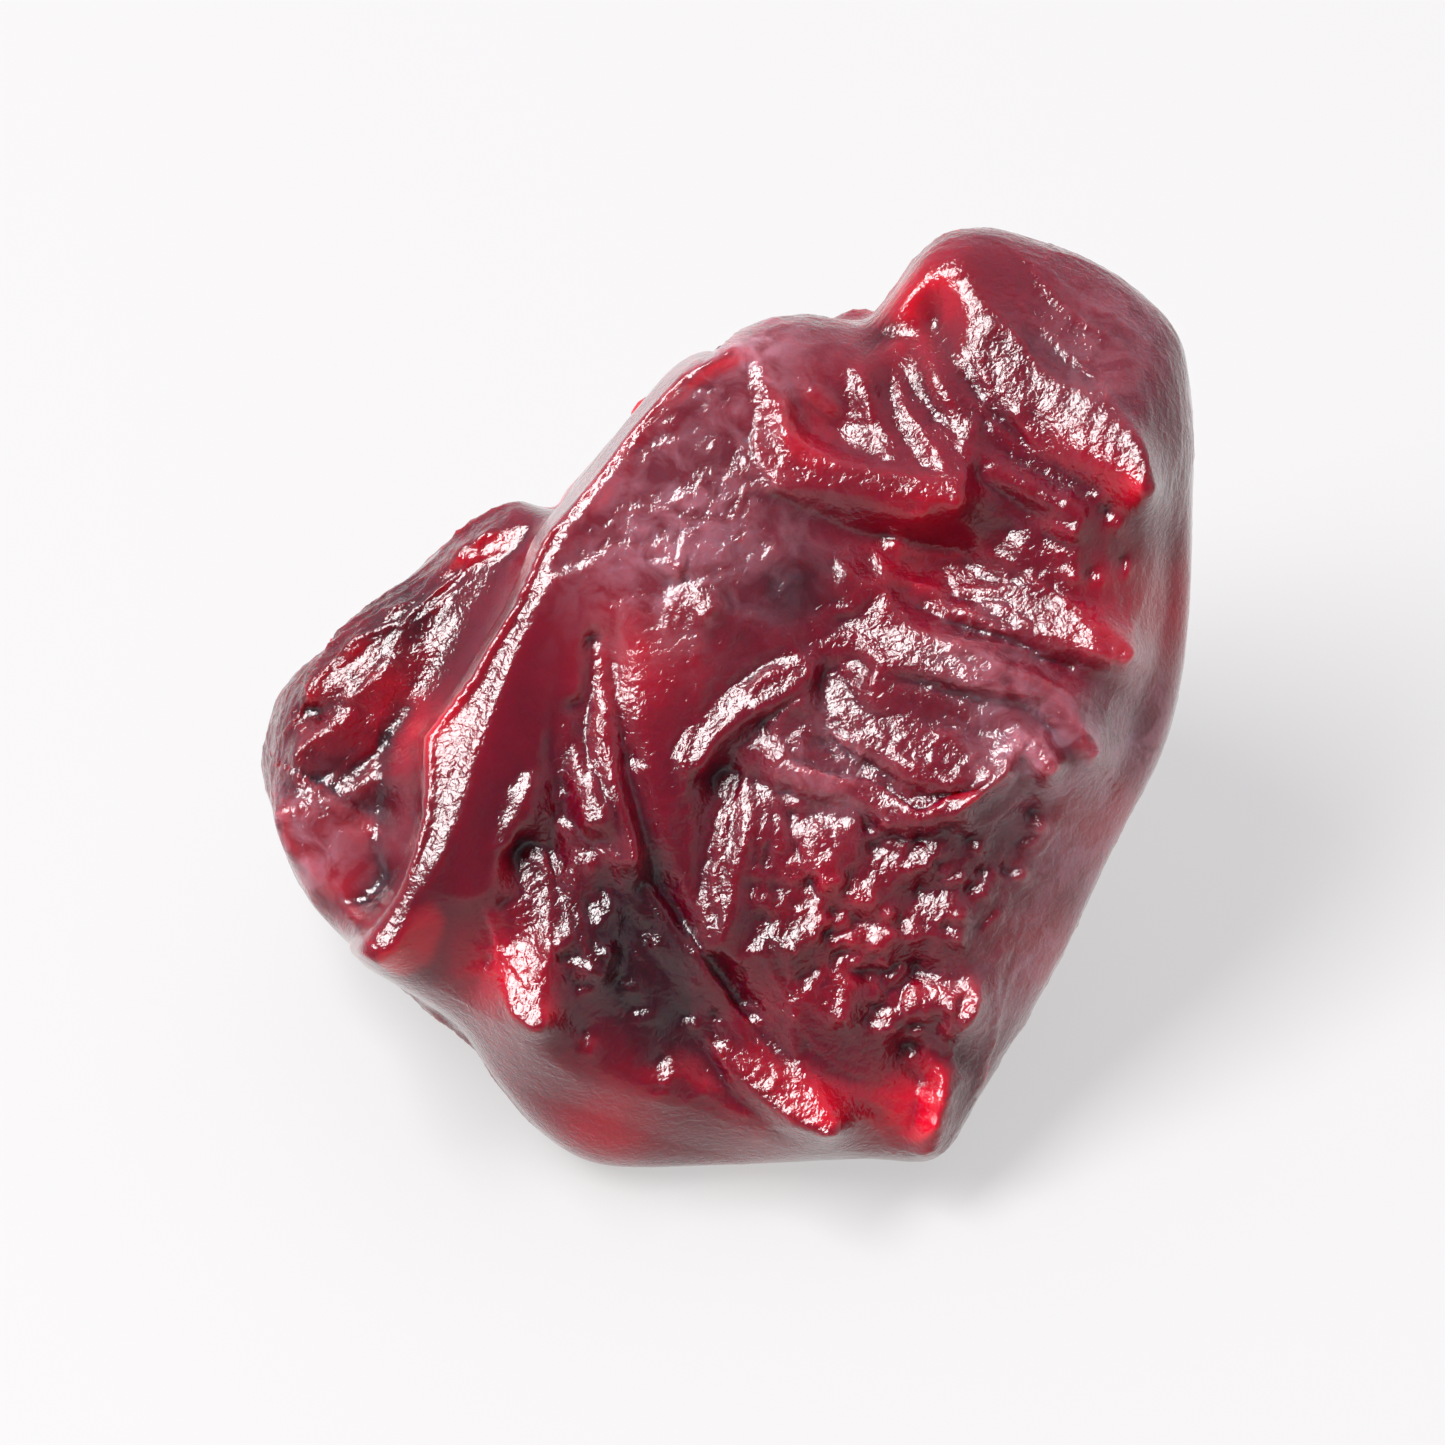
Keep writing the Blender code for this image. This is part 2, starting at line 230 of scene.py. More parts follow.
def plumpBody(direction):  # the berry without folds, and which way it faces
    angle = np.arctan2(direction[:, 1], direction[:, 0])
    across = np.hypot(direction[:, 0], direction[:, 1])
    outward = direction[:, 2]
    form = berryForm
    swing = form["flatnessSwing"] * np.cos(angle - form["steepestSide"])
    square = np.where(outward > 0, form["faceFlatness"] - swing, form["backFlatness"])
    reach = (across**square + np.abs(outward) ** square) ** (-1 / square)
    sharp = smooth(0.5, 0.95, across * reach) * smooth(-0.45, 0, outward)
    softRadius = outlineRadius(angle, form["softEdge"])
    radius = (1 - sharp) * softRadius + sharp * outlineRadius(angle, form["sharpEdge"])
    dome = np.where(outward > 0, form["faceDome"], form["backDome"])
    xy = form["centre"] + (radius * reach)[:, None] * direction[:, :2]
    points = np.column_stack([xy, dome * reach * outward])
    normal = np.column_stack([direction[:, :2] / radius[:, None], outward / dome])
    return points, normal / np.linalg.norm(normal, axis=1)[:, None]


def tent(offset, leftWidth, rightWidth, crest):  # even slopes, a round crest and soft feet
    width = np.where(offset > 0, leftWidth, rightWidth)
    rest = 1 - (np.hypot(offset, crest) - crest) / width
    return (rest + np.sqrt(rest**2 + foldFading["footRounding"])) / 2


def faceRelief(xy):  # folds and swells of the face
    height = np.zeros(len(xy))
    for place, reach, swell in berryForm["swells"]:
        height += swell * np.exp(-(((xy - place) ** 2).sum(1)) / reach**2)
    for fold, leftWidth, rightWidth, crest, path in faceFolds.values():
        reach = foldFading["reach"] * max(leftWidth, rightWidth) + crest
        near = ((xy > np.min(path, axis=0) - reach) & (xy < np.max(path, axis=0) + reach)).all(1)
        offset, share, _ = alongPath(xy[near], path)
        ends, length = foldFading["height"], foldFading["length"]
        fading = ends + (1 - ends) * smooth(0, length, share) * smooth(1, 1 - length, share)
        ending = smooth(reach, 0.6 * reach, np.abs(offset))
        height[near] += fold * fading * ending * tent(offset, leftWidth, rightWidth, crest)
    return height


def foldRim(points, xy, front):  # raises the rim, with the left side lying below it
    rim = rimFold
    offset, share, place = alongPath(xy, rim["path"])
    fading = smooth(-0.2, 0.25, share) * (1 - 0.4 * smooth(0.8, 1, share))
    facet = np.interp(share, np.linspace(0, 1, len(rim["facet"])), rim["facet"])
    rise = np.interp(share, np.linspace(0, 1, len(rim["rise"])), rim["rise"])
    rise *= smooth(-0.1, 0.15, share)
    outside = np.clip(-offset, 0, None)
    taken = np.clip((outside - facet) / rim["foot"], 0, 1)
    onFacet = (outside + facet - np.hypot(outside - facet, rim["facetRounding"])) / 2
    onFacet *= smooth(0, 0.15, outside)
    rise *= np.where(offset > 0, tent(offset, rim["slope"], 1, rim["crest"]), 1 - taken)
    sunk = rim["facetSlope"] * onFacet + rim["drop"] * fading * (1 - (1 - taken) ** 2)
    tuck = -rim["tuck"] * rim["foot"] * fading * np.sin(math.pi * taken)
    tuck *= smooth(0.2, 0.6, taken)
    outwards = xy - place
    outwards /= np.linalg.norm(outwards, axis=1)[:, None] + 1e-6
    points[:, :2] += (front * tuck)[:, None] * outwards
    points[:, 2] += smooth(-0.15, 0.15, front) * rise - front * sunk
    return sunk / rim["drop"]


# Facets of the skin that face the light, in millimetres: places along each and half its width there
litFacets = {
    "rimStreak": [(-0.38, 5.13, 0.07), (-0.73, 4.77, 0.08), (-1.28, 4.12, 0.09),
        (-1.71, 3.52, 0.09), (-2.15, 2.95, 0.1), (-2.53, 2.51, 0.11), (-2.8, 1.88, 0.12),
        (-3.04, 1.28, 0.14), (-3.33, 0.68, 0.17), (-3.62, 0.03, 0.23), (-3.9, -0.54, 0.31),
        (-4.17, -1.17, 0.42), (-4.38, -1.75, 0.46), (-4.53, -2.43, 0.28), (-4.64, -2.9, 0.12)],
    "rimFoot": [(-4.66, -2.85, 0.1), (-4.85, -3.3, 0.12), (-5.1, -3.78, 0.17), (-5.3, -4.0, 0.12)],
    "leftUprightLow": [(-2.93, -2.48, 0.22), (-2.75, -3.03, 0.29), (-2.61, -3.52, 0.26),
        (-3, -4.12, 0.22), (-3.04, -4.56, 0.26), (-2.8, -5.02, 0.15)],
    "leftUprightTop": [(-2.97, -1.28, 0.11), (-3.22, -1.72, 0.14), (-3.3, -2.21, 0.13)],
    "foldPatch": [(-1.91, 0.88, 0.08), (-1.84, 0.41, 0.11), (-2.02, -0.41, 0.1),
        (-2.09, -0.96, 0.19), (-1.99, -1.39, 0.16), (-1.8, -1.83, 0.1)],
    "foldLine": [(-1.71, 0.14, 0.08), (-1.63, -0.63, 0.08), (-1.56, -1.28, 0.09),
        (-1.43, -1.94, 0.1), (-1.31, -2.43, 0.11)],
    "fold": [(-1.11, -2.97, 0.08), (-0.82, -3.49, 0.08), (-0.4, -4.12, 0.1), (0.09, -4.83, 0.08),
        (0.3, -5.4, 0.14), (0.62, -5.75, 0.22), (1.0, -6.1, 0.27), (1.4, -6.45, 0.25),
        (1.7, -6.72, 0.13)],
    "tableLeg": [(1.29, 0.39, 0.11), (0.71, 0.03, 0.13), (0.16, -0.3, 0.15), (-0.22, -0.63, 0.15),
        (-0.32, -0.98, 0.12)],
    "tableWave": [(0.69, -0.53, 0.09), (0.9, -1.01, 0.1), (1.3, -1.25, 0.1),
        (2.08, -1.45, 0.1), (2.61, -1.64, 0.09), (2.96, -1.84, 0.1), (3.48, -1.69, 0.11),
        (4, -1.4, 0.1), (4.35, -1.1, 0.1)],
    "tableBand": [(1.78, 0.26, 0.15), (1.85, -0.14, 0.2), (2.2, -0.46, 0.22),
        (2.7, -0.62, 0.24), (3.3, -0.83, 0.25), (3.9, -1.05, 0.2), (4.35, -0.72, 0.16),
        (4.79, -0.78, 0.15), (5.09, -1.08, 0.09)],
    "tableBandLow": [(2.4, -0.8, 0.1), (2.8, -1.06, 0.13), (3, -1.32, 0.13), (3.45, -1.38, 0.09)],
    "tableLow": [(0.1, -1.3, 0.17), (0.3, -1.5, 0.22), (0.28, -2.05, 0.19),
        (0.12, -2.45, 0.14)],
    "tableLowRight": [(0.63, -1.56, 0.15), (0.88, -2.05, 0.11)],
    "tick": [(1.21, -1.92, 0.11), (1.43, -2.37, 0.12), (1.67, -2.85, 0.08)],
    "tickTop": [(1.4, -1.99, 0.09), (1.98, -1.98, 0.08)],
    "lowUpright": [(0.02, -2.65, 0.13), (0, -3.14, 0.15), (-0.07, -3.75, 0.14)],
    "lowerBar": [(2, 1.14, 0.11), (2.43, 0.97, 0.18), (3, 0.76, 0.22), (3.63, 0.56, 0.22),
        (4.2, 0.42, 0.14)],
    "lowerBarEnd": [(4.29, 0.33, 0.08), (4.83, 0.2, 0.08), (5.23, -0.14, 0.08), (5.49, -0.5, 0.08),
        (5.79, -0.85, 0.07)],
    "upperBar": [(3.58, 1.76, 0.1), (4.07, 1.54, 0.14), (4.62, 1.31, 0.2), (5.27, 1.09, 0.21),
        (5.93, 0.84, 0.19), (6.27, 0.68, 0.1)],
    "cupEdge": [(0.54, 5.15, 0.12), (0.65, 4.6, 0.13), (0.94, 4.04, 0.15), (1.4, 3.7, 0.18),
        (1.97, 3.45, 0.17), (2.66, 3.32, 0.16), (3.3, 3.22, 0.17)],
    "neck": [(2.76, 5.46, 0.09), (2.76, 4.94, 0.1), (2.98, 4.39, 0.1), (3.15, 3.95, 0.1),
        (3.31, 3.61, 0.1), (3.63, 3.08, 0.1)],
    "crown": [(3.8, 6.49, 0.08), (3.98, 6.01, 0.11), (4.31, 5.37, 0.15), (4.83, 4.85, 0.23),
        (5.4, 4.41, 0.3), (6.03, 4.04, 0.28), (6.42, 3.63, 0.19), (6.58, 3.26, 0.1)],
    "underNeck": [(4.09, 3.56, 0.08), (4.75, 3.29, 0.08), (5.51, 2.8, 0.08)],
    "leftSide": [(-6.55, 0.14, 0.1), (-5.91, 0.46, 0.17), (-5.39, 0.72, 0.22), (-5.17, 1.23, 0.15),
        (-5.06, 1.49, 0.08)],
    "leftSideEnd": [(-6.84, -0.15, 0.1), (-6.38, -0.13, 0.1)],
    "hump": [(-4.03, 2.45, 0.11), (-3.46, 2.49, 0.16), (-3.07, 2.78, 0.09)],
    "humpFoot": [(-4.34, 1.59, 0.1), (-4.27, 2.08, 0.1)],
    "tipBar": [(2.74, -4.61, 0.13), (3.28, -4.62, 0.12), (3.77, -4.69, 0.19), (3.81, -5.02, 0.1)],
    "tipRidge": [(2.98, -5.5, 0.1), (3.39, -5.76, 0.11), (3.5, -6.11, 0.09), (3.36, -6.54, 0.08),
        (3.28, -7.1, 0.07)],
    "spotA": [(-0.84, -5.74, 0.11), (-0.8, -5.93, 0.09)],
    "spotB": [(-0.49, -3.92, 0.1), (-0.32, -4.14, 0.09)],
    "spotC": [(2.49, -2.43, 0.12), (2.89, -2.57, 0.11), (3.33, -2.43, 0.08)],
    "spotD": [(1.89, -4.56, 0.09), (1.93, -4.91, 0.09)],
    "shoulderA": [(-1.55, 2.95, 0.07), (-0.93, 2.99, 0.07)],
    "shoulderB": [(-1.66, 2.4, 0.07), (-2.15, 2.03, 0.07)],
    "shoulderC": [(-0.73, 1.71, 0.07), (-0.38, 1.71, 0.07), (-0.14, 1.34, 0.06)],
}
# Places of the face that are turned away from the light, given the same way
dullFacets = {
    "shoulder": [(0.2, 5.1, 0.35), (-0.2, 4.3, 0.7), (-1.0, 3.2, 0.8), (-1.6, 2.3, 0.7),
        (-1.2, 1.6, 0.4)],
    "shoulderRight": [(0.2, 3.1, 0.4), (0.1, 2.2, 0.5), (1.2, 1.7, 0.4)],
    "betweenBars": [(4.3, 0.95, 0.12), (5.4, 0.5, 0.14)],
    "aboveBand": [(2.6, 0.2, 0.2), (3.4, -0.15, 0.25), (4.4, -0.3, 0.2)],
    "tableEye": [(1.4, -0.75, 0.12), (1.9, -1.1, 0.16), (2.5, -1.4, 0.12)],
    "besideRim": [(-2.2, 1.6, 0.3), (-2.8, 0.2, 0.4), (-3.5, -1.4, 0.35), (-3.8, -2.8, 0.3)],
    "leftSideFloor": [(-6.7, -2.0, 0.3), (-6.0, -2.4, 0.4), (-5.4, -3.0, 0.3)],
    "leftSideMiddle": [(-6.4, -0.9, 0.25), (-5.7, -0.5, 0.3), (-5.2, -0.1, 0.25)],
}
facetSettings = {
    "slope": (0.25, -0.36),  # how the facets rise, across and up the face
    "dullSlope": (-0.12, 0.04),
    "dullWeight": 0.5,
    "step": 0.05,  # the tilting is worked out on a square grid: its step and half its span
    "span": 8.8,
    "reach": 0.8,  # how far a facet's tilt is felt around it
    "broad": 1.3,  # form broader than this stays as it was
    "rounds": 36,
    "whole": (  # facets that aren't broken into strands
        "rimStreak", "rimFoot", "cupEdge", "tipRidge", "fold", "upperBar", "lowerBar"),
    "ragged": 0.4,
    "strand": (0.5, 0.14),  # length and width of the strands that the facets break into
    "bead": 0.36,  # length from one pinch of a thin strand to the next, and how they slant
    "beadSlant": 0.6,
    "beadGap": 0.6,
    "strandGap": 0.7,
    "steepest": 1.3,  # the most that a slope is turned
    "tooSteep": (1.6, 2.6),  # slopes that are left alone more and more
    # small facets scattered about a place: place, reach, how many
    "scattered": [
        ((2.4, -3.3), 1.5, 60), ((3.6, -2.6), 1.1, 24), ((3.0, -5.0), 0.6, 10),
        ((-2.2, -3.6), 1.0, 30), ((1.0, -2.6), 1.0, 30), ((-1.2, 2.4), 1.3, 36),
        ((-0.4, 3.9), 1.0, 30), ((3.6, 3.6), 1.0, 16), ((5.3, 2.2), 0.9, 14),
        ((2.2, 1.6), 1.4, 14), ((-0.4, -5.2), 1.2, 10), ((-2.2, -1.6), 0.9, 12)],
    "scatteredSize": (0.04, 0.06, 0.3),  # least and most half width, longest length
    "scatteredTurn": (-0.6, 0.7),  # the way they run, in radians, and how much that varies
    "seed": 5,
}


def facetCover(xy, path, broken):  # 1 on a facet and 0 beside it, broken into strands and beads
    s = facetSettings
    path = np.array(path)
    length = np.linalg.norm(np.diff(path[:, :2], axis=0), axis=1)
    passed = np.append(0, np.cumsum(length))
    offset, share, _ = alongPath(xy, path[:, :2].tolist())
    along = share * passed[-1]
    place = (along / s["strand"][0], offset / s["strand"][1], np.full(len(xy), 9 * path[0, 0]))
    strands = noiseAt(np.column_stack(place))
    ragged = 1 + s["ragged"] * broken * strands
    away = np.abs(offset) / np.interp(along, passed, path[:, 2]) * ragged
    pinch = np.sin(math.tau * (along + s["beadSlant"] * offset) / s["bead"] + 4 * strands)
    thin = smooth(0.2, 0.12, np.interp(along, passed, path[:, 2]))
    gaps = np.maximum(
        s["strandGap"] * smooth(0.15, 0.4, strands), s["beadGap"] * thin * smooth(0.4, 0.85, pinch))
    return smooth(1.2, 0.85, away) * (1 - broken * gaps)


def scatteredFacets():  # short straight facets, by a seeded rule
    s = facetSettings
    rng = np.random.default_rng(s["seed"])
    thin, thick, longest = s["scatteredSize"]
    for place, reach, count in s["scattered"]:
        for middle in rng.normal(place, 0.6 * reach, (count, 2)):
            turn = rng.normal(*s["scatteredTurn"])
            half = rng.uniform(0.3, 1) * longest * np.array([math.cos(turn), math.sin(turn)])
            width = rng.uniform(thin, thick)
            yield [(*(middle + end * half), width) for end in (-0.5, 0.5)]


def facetMasks(size):  # how far each square of the grid belongs to a lit or a dull facet
    s = facetSettings
    line = (np.arange(size) + 0.5) * s["step"] - s["span"]
    xy = np.stack(np.meshgrid(line, line), 2).reshape(-1, 2)
    mask, dull = np.zeros((2, len(xy)))
    facets = [(path, name not in s["whole"], mask) for name, path in litFacets.items()]
    facets += [(path, False, mask) for path in scatteredFacets()]
    facets += [(path, False, dull) for path in dullFacets.values()]
    for path, broken, cover in facets:
        low = np.min(path, axis=0)[:2] - 0.6
        high = np.max(path, axis=0)[:2] + 0.6
        near = np.flatnonzero(((xy > low) & (xy < high)).all(1))
        cover[near] = np.maximum(cover[near], facetCover(xy[near], path, broken))
    mask = mask.reshape(size, size)
    return mask, s["dullWeight"] * dull.reshape(size, size) * (1 - mask)


def tiltFacets(points, front):  # turns each facet to the light and lets the skin around it follow
    s = facetSettings
    size = int(2 * s["span"] / s["step"])
    place = np.clip((points[:, :2] + s["span"]) / s["step"], 0, size - 1.001)
    cell = place.astype(int)
    index = cell[:, 1] * size + cell[:, 0]
    rates = np.fft.fftfreq(size, s["step"]) * math.tau
    kx, ky = np.meshgrid(rates, rates)
    blur = np.exp(-(kx**2 + ky**2) * s["step"] ** 2 / 2)
    totals = [np.bincount(index, amount, size * size) for amount in (front, front * points[:, 2])]
    count, height = [
        np.fft.ifft2(np.fft.fft2(total.reshape(size, size)) * blur).real for total in totals]
    height = height / (count + 1e-4)
    rise = [np.gradient(height, s["step"], axis=1), np.gradient(height, s["step"], axis=0)]
    even = 1 - smooth(*s["tooSteep"], np.hypot(*rise))
    mask, dull = [cover * even for cover in facetMasks(size)]
    most = s["steepest"]
    wanted = [
        mask * np.clip(lit - r, -most, most) + dull * np.clip(unlit - r, -most, most)
        for lit, unlit, r in zip(s["slope"], s["dullSlope"], rise)]
    pull = wanted
    stiff = kx**2 + ky**2 + s["reach"] ** -2
    stiff /= 1.0001 - np.exp(-(kx**2 + ky**2) * s["broad"] ** 2 / 2)
    for _ in range(s["rounds"]):
        waves = -1j * (kx * np.fft.fft2(pull[0]) + ky * np.fft.fft2(pull[1])) / stiff
        got = [np.fft.ifft2(1j * k * waves).real for k in (kx, ky)]
        pull = [p + w - (mask + dull) * g for p, w, g in zip(pull, wanted, got)]
    change = np.fft.ifft2(waves).real
    print("berry: facets turned to the light")
    t, u = (place - cell).T
    x, y = cell.T
    lower = change[y, x] * (1 - t) + change[y, x + 1] * t
    upper = change[y + 1, x] * (1 - t) + change[y + 1, x + 1] * t
    points[:, 2] += front * (lower * (1 - u) + upper * u)
    return mask[y, x]


def noiseAt(points):  # smooth noise from about -1 to 1 at each point
    return np.fromiter(map(noise.noise, points.tolist()), float, len(points))


def backRelief(points, outward):  # wrinkles that run up the back
    height = np.zeros(len(points))
    form = berryForm
    crest = form["standingOut"] * smooth(0.1, -0.5, outward)
    bent = points + form["bend"] * np.sin(points[:, [1, 2, 0]] * form["bendRate"])
    for across, along, depth, place in form["backWrinkles"]:
        waves = noiseAt(bent / (across, along, across) + place)
        height += depth * (crest - np.sqrt(waves**2 + 0.003))
    return height


def tippedBack(points):  # from the face-on frame to +Z up
    x, y, z = points.T
    sine, cosine = math.sin(berryForm["tilt"]), math.cos(berryForm["tilt"])
    return np.column_stack([x, y * sine - z * cosine, y * cosine + z * sine])


# Fine wrinkles, in millimetres: width, how far they run, height, sharpness, place in the noise
fineWrinkles = {
    "layers": [
        (1.5, 1.4, 0.09, 0.4, 5.3),
        (0.7, 0.8, 0.05, 0.35, 17.9),
    ],
    "samples": 7,  # places along the gathering that each wrinkle is averaged over
    "hollow": 0.35,  # how far the skin sinks between two wrinkles
    # share of the wrinkles away from the crinkled places: the least, how much it varies, the size
    # of that variation, and what is added on the back
    "least": 0.25,
    "varying": 0.25,
    "variation": 2.6,
    "back": 0.45,
    "onFacets": 0.4,  # share of the finest crinkle that is left on lit facets
    # where the face is crinkled: place and reach
    "crinkled": [
        ((2.2, -1.0), 1.9), ((3.0, 0.9), 1.0), ((5.0, 1.0), 0.9), ((2.0, -3.6), 2.2),
        ((3.2, -5.4), 1.1), ((-2.8, -3.3), 1.0), ((-2.2, -0.9), 0.6), ((0.3, -5.4), 0.8),
        ((4.9, 4.7), 1.2), ((3.0, 4.3), 0.6), ((-5.9, 0.6), 1.6), ((-1.5, 2.7), 0.8),
        ((-3.6, 2.9), 0.8), ((-0.4, 2.0), 0.9), ((0.4, 3.4), 1.0), ((-0.4, 4.3), 0.7)],
    "smoothBand": [(7.0, 2.2), (6.6, 0.7), (5.8, -0.95), (5.2, -2.15), (4.8, -3.7), (4.3, -5.3)],
    "calm": 0.15,  # share of the wrinkles left on the smooth bands at the right and below
}


def foldDirection(points, outward):  # which way the skin is gathered, face-on, as unit vectors
    turn = np.zeros((len(points), 2))
    for fold, _, _, _, path in [*faceFolds.values(), (1, 0, 0, 0, rimFold["path"])]:
        bend = curveThrough(path, 3)
        middle = (bend[1:] + bend[:-1]) / 2
        step = np.diff(bend, axis=0)
        angle = np.arctan2(step[:, 1], step[:, 0])
        for place, a in zip(middle, angle):
            near = ((points[:, :2] - place) ** 2).sum(1) + 0.15
            weight = abs(fold) / near**1.5
            turn += weight[:, None] * (math.cos(2 * a), math.sin(2 * a))
    angle = np.arctan2(turn[:, 1], turn[:, 0]) / 2
    front = smooth(-0.3, 0.1, outward)[:, None]
    face = np.column_stack([np.cos(angle), np.sin(angle), np.zeros(len(points))])
    face *= np.where(face[:, 1:2] < 0, -1, 1)
    along = front * face + (1 - front) * np.array([0.15, 1, 0.1])
    return along / np.linalg.norm(along, axis=1)[:, None]


def wrinkleHeight(points, along, outward):  # thin raised creases that run with the folds
    fine = fineWrinkles
    varying = noiseAt(points / fine["variation"] + 41.3)
    crinkled = fine["least"] + fine["varying"] * smooth(-0.1, 0.35, varying)
    crinkled += fine["back"] * smooth(0, -0.4, outward)
    for place, reach in fine["crinkled"]:
        away = ((points[:, :2] - place) ** 2).sum(1) / reach**2
        crinkled += 0.9 * np.exp(-away) * smooth(-0.1, 0.2, outward)
    offset, _, _ = alongPath(points[:, :2], fine["smoothBand"])
    lip, _, _ = alongPath(points[:, :2], faceFolds["lowerLip"][-1])
    rim, _, _ = alongPath(points[:, :2], rimFold["path"])
    front = smooth(0, 0.2, outward)
    band = np.maximum(smooth(-0.2, 0.5, offset), smooth(0, -0.4, lip)) * front
    band = np.maximum(band, smooth(1.5, 0.9, np.abs(rim)) * smooth(-0.4, 0, outward))
    strength = np.clip(crinkled, 0, 1) * (1 - (1 - fine["calm"]) * band)
    height = np.zeros(len(points))
    for width, run, depth, sharpness, place in fine["layers"]:
        waves = 0
        for t in np.linspace(-1, 1, fine["samples"]):
            waves = waves + noiseAt((points + t * run * along) / width + place)
        waves /= waves.std()
        crest = np.exp(-np.abs(waves) / sharpness)
        height += depth * (crest - fine["hollow"] * smooth(0, 2, waves))
    return strength * height, strength


def berryMesh():  # a cube cut fine, and the direction that each of its points lies in
    shape = bmesh.new()
    bmesh.ops.create_cube(shape, size=2)
    cuts = berryForm["cells"] - 1
    bmesh.ops.subdivide_edges(shape, edges=shape.edges[:], cuts=cuts, use_grid_fill=True)
    mesh = bpy.data.meshes.new("dried_cranberry_skin")
    shape.to_mesh(mesh)
    shape.free()
    cube = np.empty(len(mesh.vertices) * 3)
    mesh.vertices.foreach_get("co", cube)
    direction = np.tan(cube.reshape(-1, 3) * math.pi / 4)
    direction /= np.linalg.norm(direction, axis=1)[:, None]
    # stereographic scaling draws the squares towards the face and keeps them square
    flat = direction[:, :2] / (1 + direction[:, 2:] + 1e-9) * berryForm["frontShare"]
    size = (flat**2).sum(1)[:, None]
    direction = np.column_stack([2 * flat, 1 - size]) / (1 + size)
    return mesh, direction


def setPoints(mesh, points):
    mesh.vertices.foreach_set("co", points.ravel())
    mesh.update()


def normalsOf(mesh):
    found = np.empty(len(mesh.vertices) * 3)
    mesh.vertices.foreach_get("normal", found)
    return found.reshape(-1, 3)


def berryPoints(mesh, direction):
    form = berryForm
    outward = direction[:, 2]
    points, normal = plumpBody(direction)
    waves = points / form["wander"]
    wander = np.column_stack([noiseAt(waves + 7.7), noiseAt(waves + 19.3)])
    xy = points[:, :2] + form["foldWander"] * wander
    overRest = tippedBack(points)[:, 2] + form["restDepth"]
    points[:, 2] += smooth(-0.15, 0.15, outward) * faceRelief(xy)
    rimPlace = points[:, :2] + form["rimWander"] * wander
    sunk = foldRim(points, rimPlace, smooth(-0.9, -0.1, outward))
    leftSide = form["leftSideWrinkles"] * sunk * smooth(-2.6, -3.8, xy[:, 0])
    wrinkled = np.maximum(smooth(-0.1, -0.45, outward), leftSide)
    wrinkled *= smooth(0, form["wrinkleStart"], overRest)
    points += (wrinkled * backRelief(points, outward))[:, None] * normal
    print("berry: folds shaped")
    setPoints(mesh, points)
    along = foldDirection(points, outward)
    height, strength = wrinkleHeight(points, along, outward)
    height *= smooth(0, form["wrinkleStart"], overRest)
    points += height[:, None] * normalsOf(mesh)
    print("berry: fine wrinkles raised")
    lit = tiltFacets(points, smooth(0.05, 0.3, outward))
    onRim = smooth(1.1, 0.7, np.abs(alongPath(points[:, :2], rimFold["path"])[0]))
    onFacets = fineWrinkles["onFacets"]
    strength = np.maximum(
        strength * (1 - (1 - onFacets) * lit), onFacets * lit * (1 - (1 - onFacets) * onRim))
    strength *= smooth(0, form["wrinkleStart"], overRest)
    points = tippedBack(points)
    points[:, 2] = np.maximum(points[:, 2] + form["restDepth"], 0)
    return points * mm, strength


def fitToBox(points):  # the skin keeps exactly to the solid's box
    low, high = (np.array(corner) for corner in cadBox)
    mine = points.min(0)
    print("berry: box", mine / mm, points.max(0) / mm, "to", low / mm, high / mm)
    return low + (points - mine) * (high - low) / (points.max(0) - mine)


def spread(mesh, values, rounds):  # averages a value over neighbouring points
    edges = np.empty(len(mesh.edges) * 2, np.int32)
    mesh.edges.foreach_get("vertices", edges)
    a, b = edges.reshape(-1, 2).T
    count = np.bincount(a, minlength=len(values)) + np.bincount(b, minlength=len(values))
    for _ in range(rounds):
        total = np.bincount(a, values[b], len(values)) + np.bincount(b, values[a], len(values))
        values = 0.5 * values + 0.5 * total / count
    return values


def creaseOf(mesh, points):  # over 0 in a crease and under 0 on a crest
    mean = np.column_stack([spread(mesh, column, 4) for column in points.T])
    return spread(mesh, ((mean - points) * normalsOf(mesh)).sum(1), 2) / mm


def thicknessOf(mesh, points):  # how much flesh lies behind each point, in millimetres
    justInside = 0.05 * mm
    normal = normalsOf(mesh)
    tree = BVHTree.FromPolygons(points.tolist(), [tuple(p.vertices) for p in mesh.polygons])
    depth = np.empty(len(points))
    for i, (p, n) in enumerate(zip(points, normal)):
        hit = tree.ray_cast(Vector(p - n * justInside), Vector(-n))
        depth[i] = hit[3] if hit[3] is not None else 0
    return spread(mesh, depth / mm, 12)


def nearPlaces(points, places):  # sum of soft spots at places seen face-on
    up = math.cos(berryForm["tilt"])
    high = points[:, 1] / mm * math.sin(berryForm["tilt"])
    high = high + (points[:, 2] / mm - berryForm["restDepth"]) * up
    total = np.zeros(len(points))
    for (x, y), reach, amount in places:
        total += amount * np.exp(-((points[:, 0] / mm - x) ** 2 + (high - y) ** 2) / reach**2)
    return total


def addNode(tree, kind, settings=None, links=None):
    node = tree.nodes.new(kind)
    for name, value in (settings or {}).items():
        if isinstance(name, str) and name in node.bl_rna.properties:
            setattr(node, name, value)
        else:
            node.inputs[name].default_value = value
    for name, source in (links or {}).items():
        tree.links.new(source, node.inputs[name])
    return node


def storeValue(mesh, name, values):
    attribute = mesh.attributes.new(name, "FLOAT", "POINT")
    attribute.data.foreach_set("value", values.astype(np.float32))


# The finest crinkle of the skin, which follows the surface: values of the tree's named inputs
crinkle = {
    "Width": 0.4 * mm,
    "Height": 0.026 * mm,
    "Sharpness": 0.22,
    "Seed": 4.0,
}


